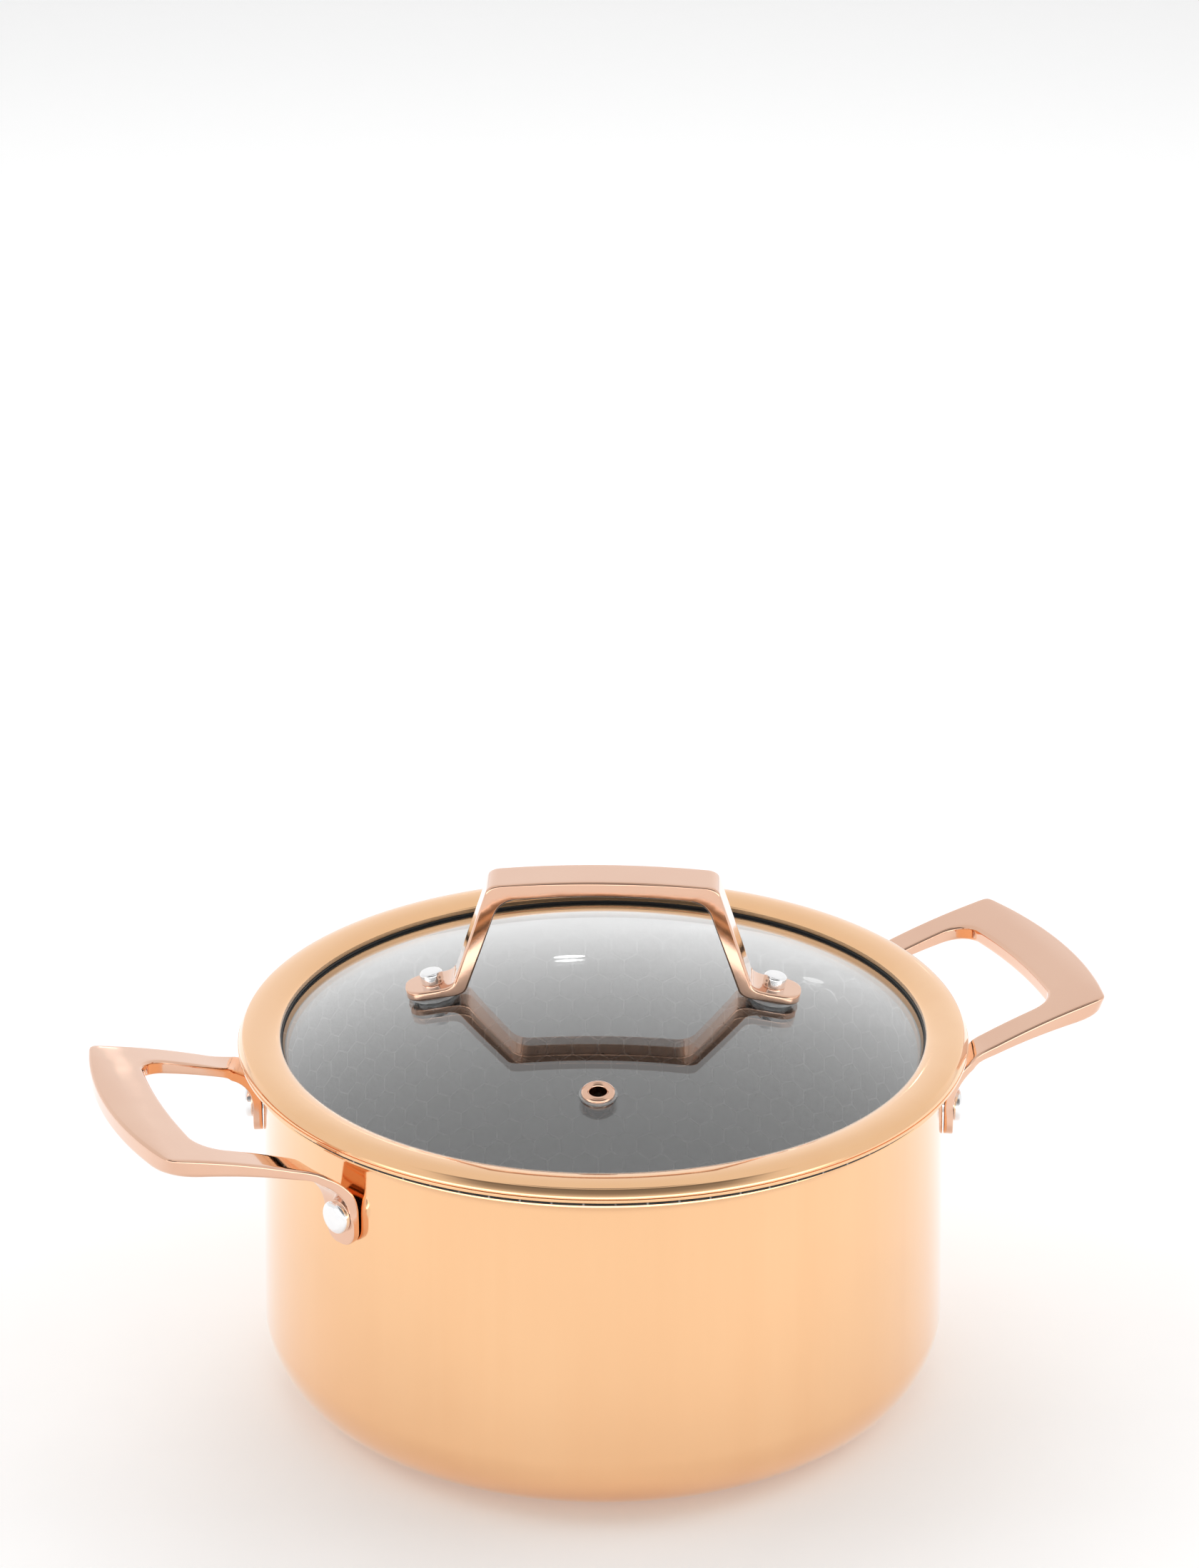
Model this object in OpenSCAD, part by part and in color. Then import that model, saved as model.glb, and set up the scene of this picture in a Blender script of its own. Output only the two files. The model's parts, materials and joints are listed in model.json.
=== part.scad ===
// Two-handled copper-finish saucepan with a domed glass lid.
// Origin at the centre of the base, +Z up, side handles along X.

/* [Pot] */
// Largest outer radius, where the base corner meets the wall
pot_r = 103; // [98:0.5:106]
// Height of the pouring lip above the table
pot_h = 107.7; // [104:0.1:112]
// How much the wall narrows from the base corner up to the lip
wall_taper = 1.5; // [0:0.1:2.5]
// Outer radius of the rounded base corner
base_corner_r = 22; // [12:1:30]
// Outer radius of the lip's flare
lip_bend_r = 5; // [3:0.5:7]
// How far the lip stands out past the narrow end of the wall
lip_reach = 5.8; // [5:0.1:7]
// Thickness of the copper-finish steel skin
skin_t = 0.6; // [0.4:0.1:1]
// Thickness of the aluminium core
core_t = 1.2; // [0.8:0.1:2.4]
// Thickness of the non-stick inner liner
liner_t = 0.6; // [0.4:0.1:1]

/* [Side handles] */
// Distance from the pot's axis to the corners of a grip
grip_reach = 147.2; // [140:0.2:160]
// How far the middle of the grip bows out past its corners
grip_bow = 6.3; // [2:0.1:10]
// Half the length of the grip, from corner to corner
grip_half = 40.5; // [36:0.5:42]
// Width of the grip, measured at its corners
grip_w = 11.4; // [8:0.2:16]
// Width of each arm
arm_w = 9.6; // [7:0.2:12]
// Fillet radius inside the finger opening
opening_r = 9; // [4:0.5:14]
// Height of the grip's top face above the table
grip_top = 113.3; // [110:0.1:120]
// Thickness of the grip
grip_t = 6; // [4:0.5:8]
// Thickness of an arm where it reaches the pot, and of its tab
arm_t = 2.8; // [2.5:0.1:3.4]
// Slope of the arm's top face where it leaves the grip
arm_slope = 0.19; // [0.1:0.01:0.25]
// How fast the arm steepens towards the pot, per mm
arm_curve = 0.0022; // [0:0.0002:0.003]
// Angle of each tab either side of the handle's centre line
tab_angle = 22.4; // [20:0.1:23]
// Width of a tab
tab_w = 11.5; // [11:0.1:14]
// Height of the tab's lower end above the table
tab_bottom = 77.5; // [70:0.5:79]
// Height of the side rivets above the table
rivet_z = 86.2; // [84:0.1:88]
// Outer radius of the bend between arm and tab
bend_r = 15.5; // [14:0.5:17]
// Height at which the tab starts to bend outwards
bend_z = 87; // [86:0.5:88]

/* [Side rivets] */
// Diameter of the button head
side_head_d = 10; // [8:0.2:11]
// Thickness of the button head
side_head_t = 2.8; // [2:0.1:4]
// Diameter of the rivet's shank
side_shank_d = 5; // [4:0.1:6]
// Thickness of the flat head inside the pot
side_inner_t = 1.4; // [1:0.1:2]

/* [Lid] */
// Turn of the lid on the pot, in degrees about the pot's axis
lid_turn = -23; // [-180:1:180]
// Gap between the pot's lip and the resting lid
lid_gap = 0.3; // [0.2:0.05:0.6]
// Outer radius of the lid's metal rim
rim_r = 108.8; // [108:0.1:112]
// Radius of the rim's inner edge
rim_inner_r = 96.1; // [95:0.1:97]
// Height of the rim's crown above its seat
rim_crown_h = 5.3; // [4:0.1:7]
// Height of the rim's straight outer side
rim_side_h = 2.6; // [2:0.1:3]
// Thickness of the rim's sheet
rim_t = 0.7; // [0.5:0.1:0.9]
// Depth of the skirt that drops inside the pot
skirt_h = 4.2; // [3:0.1:5]
// Radius of the glass dome's outer surface
dome_r = 283; // [270:1:300]
// Height of the dome's top above the table
dome_top = 126; // [125.6:0.1:126.6]
// Thickness of the glass
glass_t = 4; // [3:0.1:4.4]

/* [Vent] */
// Distance of the vent from the lid's axis
vent_at = 62; // [58:1:75]
// Diameter of the vent's hole
vent_hole_d = 4.8; // [4:0.1:5.2]
// Diameter of the eyelet's flange
vent_flange_d = 9.8; // [9:0.1:11]

/* [Lid handle] */
// Height of the bar's top above the table
bar_top = 161.1; // [150:0.1:165]
// Drop of the bar's top from its middle to its ends
bar_arch = 1.7; // [0.5:0.1:3]
// Half the length of the bar
bar_half = 33.8; // [30:0.2:36]
// Thickness of the bar
bar_t = 4.8; // [4:0.1:6]
// Thickness of the legs, measured level
leg_t = 4.9; // [4:0.1:6]
// Radius inside the corner between bar and leg
bar_fillet_r = 8; // [4:0.5:10]
// Width of the bar and the legs
bar_w = 14; // [13:0.2:16]
// Distance of each lid rivet from the lid's axis
lid_rivet_at = 50; // [49:0.5:52]
// Thickness of a foot
foot_t = 2.8; // [2:0.1:3.4]
// Length of a foot past its rivet
foot_tip = 8.2; // [7.6:0.1:9]
// Diameter of the lid rivet's head
lid_head_d = 6.6; // [6:0.1:8]
// Height of the lid rivet's head
lid_head_h = 3.6; // [2:0.1:4]
// Thickness of each silicone gasket
gasket_t = 1.2; // [0.8:0.1:1.4]
// Diameter of the upper gasket
gasket_d = 14.4; // [13:0.2:16]

/* [Hidden] */

$fn = 96;
copper = [0.86, 0.60, 0.45];
rose = [0.88, 0.66, 0.54];
steel = [0.82, 0.82, 0.84];

// Pot sections
neck_r = pot_r - wall_taper;
lip_r = neck_r + lip_reach;
wall_t = skin_t + core_t + liner_t;
lip_t = skin_t + liner_t;
lip_z = pot_h - lip_t - lip_bend_r;
core_fade = 6;
rivet_play = 0.05;

// Side handles
tab_face = neck_r + wall_taper * (pot_h - tab_bottom) / (pot_h - base_corner_r) + 0.15;
tab_tilt_clear = 0.35;
tab_half_angle = asin(tab_w / 2 / tab_face);
arm_start = 104;
arm_full = 110;
bend_sweep = 58;
tab_corner_r = 4.5;
head_play = 0.1;
inner_bow = 1.2;

// Lid sections
seat_z = pot_h + lid_gap;
crown_z = seat_z + rim_crown_h;
shoulder_z = seat_z + rim_side_h;
crown_peak = 0.52;
lip_drop = 2.2;
lip_in_z = crown_z - lip_drop;
edge_soft = 0.4;
skirt_r = 99.3;
glass_r = 97.6;
seal_lap = 1.2;
vent_washer_t = 0.6;
barrel_r = vent_hole_d / 2 + 0.55;
lower_gasket_d = 11;
washer_d = 10;
washer_t = 1;
lid_shank_d = 4;
tail_t = 1.2;
under_clear = 0.08;
foot_ankle = 6.2;
foot_heel = 9.6;
foot_round_r = 5.5;

function arc(c, r, a0, a1, n) =
  [for (i = [0 : n]) c + r * [cos(a0 + (a1 - a0) * i / n), sin(a0 + (a1 - a0) * i / n)]];

function reversed(list) = [for (i = [len(list) - 1 : -1 : 0]) list[i]];

// Pot section at depth d below the outer surface, up to the start of the lip
function wall_line(d, lip_d) = concat(
  [[0, d]],
  arc([pot_r - base_corner_r, base_corner_r], base_corner_r - d, -90, 0, 12),
  [[neck_r - d, lip_z - core_fade], [neck_r - lip_d, lip_z]]
);

// The lip's flare at depth d, from the wall out to the edge
function lip_line(d) = concat(
  arc([neck_r + lip_bend_r, lip_z], lip_bend_r + d, 180, 90, 8),
  [[lip_r, lip_z + lip_bend_r + d]]
);

// Height of the dome's outer surface at a distance r from the axis
function dome_z(r) = dome_top - dome_r + sqrt(dome_r * dome_r - r * r);
function dome_tilt(r) = asin(r / dome_r);

// Top face and thickness of a side handle at a distance u from the pot's axis
function arm_top(u) =
  let (d = max(0, grip_reach - u)) grip_top - arm_slope * d - arm_curve * d * d;
function arm_depth(u) =
  let (k = min(1, max(0, (u - arm_start) / (grip_reach - arm_start))))
  arm_t + (grip_t - arm_t) * pow(k, 1.2);

// Arc that bulges by bow between two points at (x, y) and (x, -y)
function bowed(x, y, bow, n) =
  let (r = (y * y + bow * bow) / (2 * bow), a = asin(y / r)) arc([x + bow - r, 0], r, a, -a, n);

module side_rivet_bores() {
  for (side = [0, 180], a = [-tab_angle, tab_angle])
    rotate([0, 0, side + a])
      translate([neck_r - 20, 0, rivet_z])
        rotate([0, 90, 0])
          cylinder(d = side_shank_d + 2 * rivet_play, h = 40);
}

module pot_ply(lower, upper) {
  difference() {
    rotate_extrude(convexity = 6) polygon(concat(lower, reversed(upper)));
    side_rivet_bores();
  }
}

module pot_outer_skin() {
  color(copper)
    pot_ply(
      concat(wall_line(0, 0), lip_line(0)),
      concat(wall_line(skin_t, skin_t), lip_line(skin_t))
    );
}

module pot_core() {
  color([0.75, 0.76, 0.78])
    pot_ply(wall_line(skin_t, skin_t), wall_line(skin_t + core_t, skin_t));
}

module pot_liner() {
  color([0.22, 0.22, 0.23])
    pot_ply(
      concat(wall_line(skin_t + core_t, skin_t), lip_line(skin_t)),
      concat(wall_line(wall_t, lip_t), lip_line(lip_t))
    );
}

// Outline of a side handle seen from above, open towards the pot
module handle_plan() {
  inner_y = grip_half - arm_w;
  inner_x = grip_reach - grip_w;
  polygon(concat(
    [[arm_start, grip_half]],
    bowed(grip_reach, grip_half, grip_bow, 16),
    [[arm_start, -grip_half], [arm_start, -inner_y]],
    arc([inner_x - opening_r, -inner_y + opening_r], opening_r, -90, 0, 8),
    reversed(bowed(inner_x, inner_y - opening_r, inner_bow, 8)),
    arc([inner_x - opening_r, inner_y - opening_r], opening_r, 0, 90, 8),
    [[arm_start, inner_y]]
  ));
}

// Outline of a side handle seen from the side
module handle_profile() {
  far = grip_reach + grip_bow + 1;
  steps = 12;
  us = [for (i = [0 : steps]) arm_start + (far - arm_start) * i / steps];
  polygon(concat(
    [for (u = us) [u, arm_top(u)]],
    reversed([for (u = us) [u, arm_top(u) - arm_depth(u)]])
  ));
}

module handle_plate() {
  intersection() {
    translate([0, 0, grip_top - 40]) linear_extrude(height = 60) handle_plan();
    rotate([90, 0, 0])
      linear_extrude(height = 4 * grip_half, center = true) handle_profile();
  }
}

// Tab, bend and start of an arm in section, turned about the pot's axis
module strap_profile() {
  c = [tab_face + bend_r, bend_z];
  arm_v = grip_half - arm_w / 2;
  reach = [for (u = [arm_start : 2 : arm_full + 4]) [norm([u, arm_v]), arm_top(u)]];
  polygon(concat(
    [[tab_face, tab_bottom]],
    arc(c, bend_r, 180, 180 - bend_sweep, 8),
    reach,
    reversed([for (p = reach) p - [0, arm_t]]),
    arc(c, bend_r - arm_t, 180 - bend_sweep, 180, 8),
    [[tab_face + arm_t, tab_bottom]]
  ));
}

// Corner of a tab seen from above, at radius r, on the side that turn points to
function tab_corner(r, turn) =
  r * [cos(tab_angle + turn * tab_half_angle), sin(tab_angle + turn * tab_half_angle)];

// Outline of one strap end seen from above, from the tab out to the full arm
module strap_plan() {
  inside = tab_face - 4;
  outside = tab_face + arm_t;
  polygon([
    tab_corner(inside, -1), tab_corner(outside, -1), [arm_full, grip_half - arm_w],
    [arm_full, grip_half], tab_corner(outside, 1), tab_corner(inside, 1)
  ]);
}

// Outline of a tab seen square on: rounded lower corners, wide above the rivet
module tab_outline() {
  half = tab_w / 2;
  polygon(concat(
    [[-tab_w, bend_z + 20], [-tab_w, bend_z + 3], [-half, bend_z - 3]],
    arc([-half + tab_corner_r, tab_bottom + tab_corner_r], tab_corner_r, 180, 270, 6),
    arc([half - tab_corner_r, tab_bottom + tab_corner_r], tab_corner_r, 270, 360, 6),
    [[half, bend_z - 3], [tab_w, bend_z + 3], [tab_w, bend_z + 20]]
  ));
}

module strap_end() {
  difference() {
    intersection() {
      rotate_extrude() strap_profile();
      translate([0, 0, tab_bottom - 5]) linear_extrude(height = 40) strap_plan();
      rotate([0, 0, tab_angle])
        translate([tab_face - 5, 0, 0])
          rotate([90, 0, 90]) linear_extrude(height = 40) tab_outline();
    }
    rotate([0, 0, tab_angle])
      translate([tab_face - 5, 0, rivet_z])
        rotate([0, 90, 0]) {
          cylinder(d = side_shank_d + 2 * rivet_play, h = arm_t + 10);
          translate([0, 0, 5 + arm_t]) cylinder(d = side_head_d + 2 * head_play, h = side_head_t);
        }
  }
}

module side_handle(side) {
  color(rose)
    rotate([0, 0, side]) {
      handle_plate();
      strap_end();
      mirror([0, 1, 0]) strap_end();
    }
}

module side_handle_left() { side_handle(180); }
module side_handle_right() { side_handle(0); }

// Button head outside, shank through the tab and the wall, flat head inside
module side_rivet(angle) {
  inner_face = neck_r - wall_t - tab_tilt_clear;
  head_face = tab_face + arm_t;
  head_r = side_head_d / 2;
  round_r = side_head_t * 0.45;
  color(steel)
    rotate([0, 0, angle])
      translate([0, 0, rivet_z])
        rotate([0, 90, 0])
          rotate_extrude()
            polygon(concat(
              [[0, inner_face - side_inner_t], [head_r - 0.5, inner_face - side_inner_t]],
              [[head_r, inner_face - side_inner_t + 0.5], [head_r, inner_face]],
              [[side_shank_d / 2, inner_face], [side_shank_d / 2, head_face]],
              [[head_r, head_face]],
              arc([head_r - round_r, head_face + side_head_t - round_r], round_r, 0, 90, 6),
              [[0, head_face + side_head_t]]
            ));
}

module side_rivet_left_front() { side_rivet(180 + tab_angle); }
module side_rivet_left_rear() { side_rivet(180 - tab_angle); }
module side_rivet_right_front() { side_rivet(-tab_angle); }
module side_rivet_right_rear() { side_rivet(tab_angle); }

// Carries its children to the dome's surface, square to the glass, at a distance r
module on_dome(r, angle) {
  rotate([0, 0, lid_turn + angle])
    translate([r, 0, dome_z(r)])
      rotate([0, dome_tilt(r), 0])
        children();
}

module glass_section() {
  a = 90 - dome_tilt(glass_r);
  b = 90 - asin(glass_r / (dome_r - glass_t));
  c = [0, dome_top - dome_r];
  polygon(concat(arc(c, dome_r, 90, a, 24), arc(c, dome_r - glass_t, b, 90, 24)));
}

module lid_glass() {
  color([0.55, 0.57, 0.58, 0.45])
    difference() {
      rotate_extrude() glass_section();
      on_dome(vent_at, -90)
        translate([0, 0, -10]) cylinder(r = barrel_r + rivet_play, h = 20);
      for (angle = [0, 180])
        on_dome(lid_rivet_at, angle)
          translate([0, 0, -10]) cylinder(d = lid_shank_d + 2 * rivet_play, h = 20);
    }
}

// Outer line of the rim's crown, inset by d, from its inner edge to its outer side
function crown_line(d) =
  let (
    top = [rim_inner_r + (rim_r - rim_inner_r) * crown_peak, crown_z - d],
    out = rim_r - d - top[0],
    inw = top[0] - rim_inner_r,
    drop_out = crown_z - shoulder_z
  )
  concat(
    [for (i = [0 : 8]) top + [-inw * cos(i * 11.25), lip_drop * (sin(i * 11.25) - 1)]],
    [for (i = [1 : 10]) top + [out * sin(i * 9), drop_out * (cos(i * 9) - 1)]]
  );

module lid_rim() {
  color(copper)
    rotate_extrude(convexity = 8)
      polygon(concat(
        crown_line(0),
        [[rim_r, seat_z + edge_soft], [rim_r - edge_soft, seat_z]],
        [[skirt_r, seat_z], [skirt_r, seat_z - skirt_h], [skirt_r - rim_t, seat_z - skirt_h]],
        [[skirt_r - rim_t, seat_z + rim_t], [rim_r - rim_t, seat_z + rim_t]],
        reversed(crown_line(rim_t))
      ));
}

// Silicone channel that wraps the edge of the glass and fills the rim's mouth
module lid_seal() {
  top_z = lip_in_z - rim_t;
  low_z = dome_z(glass_r) - glass_t - seal_lap;
  in_r = rim_inner_r - 0.5;
  color([0.08, 0.08, 0.08])
    rotate_extrude(convexity = 6)
      difference() {
        polygon([
          [in_r, low_z], [skirt_r - rim_t, low_z], [skirt_r - rim_t, seat_z + rim_t],
          [skirt_r, seat_z + rim_t], [skirt_r, top_z], [rim_inner_r + 0.2, top_z],
          [in_r, top_z - 0.5]
        ]);
        glass_section();
      }
}

module vent_eyelet() {
  hole = vent_hole_d / 2;
  flange = vent_flange_d / 2;
  low = -glass_t - under_clear;
  color(copper)
    on_dome(vent_at, -90)
      rotate_extrude()
        polygon(concat(
          [[hole, low - 0.8], [flange - 0.6, low - 0.8], [flange - 0.4, low], [barrel_r, low]],
          [[barrel_r, vent_washer_t], [flange, vent_washer_t]],
          [for (i = [0 : 8])
            [(hole + flange) / 2 + (flange - hole) / 2 * cos(i * 22.5),
             vent_washer_t + 0.25 + 1.05 * sin(i * 22.5)]]
        ));
}

module vent_washer() {
  color([0.85, 0.87, 0.87, 0.6])
    on_dome(vent_at, -90)
      difference() {
        cylinder(d = vent_flange_d + 1.2, h = vent_washer_t);
        translate([0, 0, -1]) cylinder(r = barrel_r + rivet_play, h = vent_washer_t + 2);
      }
}

// Point in the lid handle's plane, s along a foot from its rivet and h above the glass
function foot_point(s, h) =
  let (a = dome_tilt(lid_rivet_at))
  [lid_rivet_at, dome_z(lid_rivet_at)] + s * [cos(a), -sin(a)] + h * [sin(a), cos(a)];

// Right half of the lid handle seen from the front: arched bar, sloping leg, foot
function handle_half() =
  let (
    shoulder = bar_top - bar_arch,
    ankle = foot_point(-foot_ankle, gasket_t + foot_t),
    lean = (ankle[0] - bar_half) / (shoulder - ankle[1]),
    lean_a = atan(lean),
    fillet_z = shoulder - bar_t + 0.4 * bar_arch - bar_fillet_r,
    fillet_x = bar_half - leg_t + lean * (shoulder - fillet_z) - bar_fillet_r / cos(lean_a)
  )
  concat(
    [for (i = [1 : 10]) [bar_half * i / 10, bar_top - bar_arch * i * i / 100]],
    [ankle, foot_point(foot_tip, gasket_t + foot_t)],
    [foot_point(foot_tip, gasket_t), foot_point(-foot_heel, gasket_t)],
    arc([fillet_x, fillet_z], bar_fillet_r, lean_a, 90, 8)
  );

module handle_front() {
  half = handle_half();
  polygon(concat(
    [[0, bar_top]],
    half,
    [[0, bar_top - bar_t]],
    [for (p = reversed(half)) [-p[0], p[1]]]
  ));
}

// The lid handle seen from above, with rounded tips
module handle_top_view() {
  tip_x = lid_rivet_at + foot_tip;
  half = bar_w / 2;
  polygon(concat(
    arc([tip_x - foot_round_r, half - foot_round_r], foot_round_r, 0, 90, 8),
    arc([-tip_x + foot_round_r, half - foot_round_r], foot_round_r, 90, 180, 8),
    arc([-tip_x + foot_round_r, -half + foot_round_r], foot_round_r, 180, 270, 8),
    arc([tip_x - foot_round_r, -half + foot_round_r], foot_round_r, 270, 360, 8)
  ));
}

module lid_handle() {
  color(rose)
    difference() {
      rotate([0, 0, lid_turn])
        intersection() {
          rotate([90, 0, 0]) linear_extrude(height = 2 * bar_w, center = true) handle_front();
          translate([0, 0, dome_top - 20]) linear_extrude(height = 80) handle_top_view();
        }
      for (angle = [0, 180])
        on_dome(lid_rivet_at, angle)
          cylinder(d = lid_shank_d + 2 * rivet_play, h = 12);
    }
}

// Flat-topped head on the foot, shank through the glass, flared tail below the washer
module lid_rivet(angle) {
  seat = gasket_t + foot_t;
  tail = -glass_t - under_clear - gasket_t - washer_t;
  head_r = lid_head_d / 2;
  color(steel)
    on_dome(lid_rivet_at, angle)
      rotate_extrude()
        polygon([
          [0, tail - tail_t], [lid_shank_d / 2 + 0.9, tail - tail_t],
          [lid_shank_d / 2 + 1.3, tail], [lid_shank_d / 2, tail], [lid_shank_d / 2, seat],
          [head_r, seat], [head_r, seat + lid_head_h - edge_soft],
          [head_r - edge_soft, seat + lid_head_h], [0, seat + lid_head_h]
        ]);
}

module lid_rivet_left() { lid_rivet(180); }
module lid_rivet_right() { lid_rivet(0); }

// Flat ring of thickness t on a lid rivet, its lower face at height z from the glass
module ring_on_rivet(angle, d, z, t) {
  on_dome(lid_rivet_at, angle)
    translate([0, 0, z])
      difference() {
        cylinder(d = d, h = t);
        translate([0, 0, -1]) cylinder(d = lid_shank_d + 2 * rivet_play, h = t + 2);
      }
}

module upper_gasket(angle) {
  color([0.8, 0.82, 0.82, 0.6]) ring_on_rivet(angle, gasket_d, 0, gasket_t);
}

module lower_gasket(angle) {
  color([0.8, 0.82, 0.82, 0.6])
    ring_on_rivet(angle, lower_gasket_d, -glass_t - under_clear - gasket_t, gasket_t);
}

module backing_washer(angle) {
  color(steel)
    ring_on_rivet(angle, washer_d, -glass_t - under_clear - gasket_t - washer_t, washer_t);
}

module upper_gasket_left() { upper_gasket(180); }
module upper_gasket_right() { upper_gasket(0); }
module lower_gasket_left() { lower_gasket(180); }
module lower_gasket_right() { lower_gasket(0); }
module backing_washer_left() { backing_washer(180); }
module backing_washer_right() { backing_washer(0); }

pot_outer_skin();
pot_core();
pot_liner();
side_handle_left();
side_handle_right();
side_rivet_left_front();
side_rivet_left_rear();
side_rivet_right_front();
side_rivet_right_rear();
lid_glass();
lid_rim();
lid_seal();
vent_eyelet();
vent_washer();
lid_handle();
lid_rivet_left();
lid_rivet_right();
upper_gasket_left();
upper_gasket_right();
lower_gasket_left();
lower_gasket_right();
backing_washer_left();
backing_washer_right();
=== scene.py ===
"""Looks of the lidded saucepan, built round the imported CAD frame.

Shapes are written in millimetres, in the CAD frame: origin at the centre of the base,
+Z up, side handles along X. MM turns them into Blender's metres.
"""

import json
import math

import bmesh
import bpy
from mathutils import Matrix, Vector


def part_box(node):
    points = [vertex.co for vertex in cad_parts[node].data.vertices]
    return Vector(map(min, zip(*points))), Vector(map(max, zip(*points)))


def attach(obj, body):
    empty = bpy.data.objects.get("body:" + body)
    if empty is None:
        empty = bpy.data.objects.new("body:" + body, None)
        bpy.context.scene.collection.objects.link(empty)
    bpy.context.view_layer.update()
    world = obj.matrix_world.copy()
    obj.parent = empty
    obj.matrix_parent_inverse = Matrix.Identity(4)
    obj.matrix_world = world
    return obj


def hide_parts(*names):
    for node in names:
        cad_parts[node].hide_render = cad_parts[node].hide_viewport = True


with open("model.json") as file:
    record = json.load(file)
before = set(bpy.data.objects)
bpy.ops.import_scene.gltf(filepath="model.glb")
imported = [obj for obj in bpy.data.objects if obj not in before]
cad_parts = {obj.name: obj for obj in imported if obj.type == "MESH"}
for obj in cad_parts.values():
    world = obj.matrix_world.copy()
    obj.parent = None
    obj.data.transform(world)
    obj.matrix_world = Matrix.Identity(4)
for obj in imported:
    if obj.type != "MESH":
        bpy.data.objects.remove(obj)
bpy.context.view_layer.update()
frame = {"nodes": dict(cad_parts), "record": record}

MM = 0.001


def top_of(node):
    """Upper corner of a CAD node's box, in millimetres."""
    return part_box(node)[1] / MM


def bottom_of(node):
    """Lower corner of a CAD node's box, in millimetres."""
    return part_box(node)[0] / MM


# Pot
POT_R = 103.0
NECK_R = 101.5
CORNER_R = 22.0
SKIN_T = 0.6
CORE_T = 1.2
WALL_T = 2.4
LIP_T = 1.2
LIP_BEND_R = 5.0
POT_H = top_of("pot_liner").z
LIP_R = top_of("pot_liner").x
LIP_Z = POT_H - LIP_T - LIP_BEND_R
CORE_FADE = 6.0
RIVET_HEAD_R = 5.0
RIVET_HEAD_H = 2.8
RIVET_SHANK_R = 2.5
INNER_HEAD_H = 1.4

# Side handles
GRIP_REACH = 147.2
GRIP_BOW = 6.3
GRIP_HALF = 40.5
GRIP_W = 11.4
ARM_W = 9.6
OPENING_R = 9.0
GRIP_TOP = 113.3
GRIP_T = 6.0
ARM_T = 2.8
ARM_SLOPE = 0.19
ARM_CURVE = 0.0022
ARM_START = 104.0
ARM_FULL = 110.0
TAB_ANGLE = 22.4
TAB_W = 11.5
TAB_BOTTOM = bottom_of("side_handle_right").z
TAB_FACE = 102.18
TAB_CORNER_R = 4.5
TAB_STRAIGHT_TOP = 84.8
BEND_R = 15.5
BEND_Z = 87.0
BEND_SWEEP = 58.0
BLEND_START = 101.0
BLEND_END = ARM_FULL + 1.0
BLEND_RUN = 6.6
BLEND_DRIFT = 0.32
INNER_BOW = 1.2
ARM_INNER_Y = GRIP_HALF - ARM_W
INNER_X = GRIP_REACH - GRIP_W
TOP_CORNER_R = 2.0
LOW_CORNER_R = 9.0
TOP_EDGE_R = 1.1
LOW_EDGE_R = 0.35
LOW_EDGE_GAIN = 0.42
ACROSS = 7
RIVET_Z = 86.2

# Lid
LID_TURN = -23.0
SEAT_Z = 108.0
RIM_R = top_of("lid_rim").x
RIM_INNER_R = 96.1
CROWN_Z = top_of("lid_rim").z
CROWN_PEAK = 0.52
RIM_T = 0.7
SEAL_SHOW = 0.45
TURN_R = 107.0
TURN_Z = CROWN_Z - 0.76
# Steps out and down from the crown's outer turn, over the bead, to the seam
BEAD_STEPS = (
    (0.25, 0.14),
    (0.45, 0.37),
    (0.62, 0.64),
    (0.90, 1.10),
    (1.16, 1.54),
    (1.36, 1.97),
    (1.48, 2.32),
    (1.56, 2.66),
)
BEAD_OUT = BEAD_STEPS[-1][0]
SEAM_IN = 0.18
SEAM_Z = TURN_Z - 2.82
SHOULDER_Z = SEAT_Z + 2.6
LIP_IN_Z = CROWN_Z - 2.2
SKIRT_R = 99.3
SKIRT_H = 4.2
DOME_R = 283.0
DOME_TOP = 126.0
GLASS_R = 97.6
GLASS_T = 4.0
VENT_AT = 62.0
VENT_BORE_R = 3.0
LID_RIVET_AT = 50.0
LID_RIVET_BORE_R = 2.05
LID_RIVET_R = 2.0
LID_HEAD_R = 3.5
LID_HEAD_H = 3.6
LID_TAIL_R = 3.3
GASKET_R = 7.2
GASKET_T = 1.2
GLASS_GAP = 0.08
FOOT_T = 2.8
BAR_TOP = top_of("lid_handle").z
BAR_ARCH = 1.7
BAR_HALF = 33.8
BAR_T = 4.8
BAR_BEND = 3.0
LEG_T = 4.9
BAR_FILLET_R = 8.0
BAR_W = 14.0
FOOT_TIP = 8.2
FOOT_ANKLE = 6.2
FOOT_HEEL = 9.6
FOOT_ROUND_R = 5.5
LID_HANDLE_TOP_EDGE_R = 0.9
LID_HANDLE_LOW_EDGE_R = 0.7

# Liner pattern, in metres
HEX_CELL = 0.0082
LINER_WALL_R = 0.0984
LINER_FLOOR_R = 0.0965


# ---------------------------------------------------------------- mesh helpers


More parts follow.
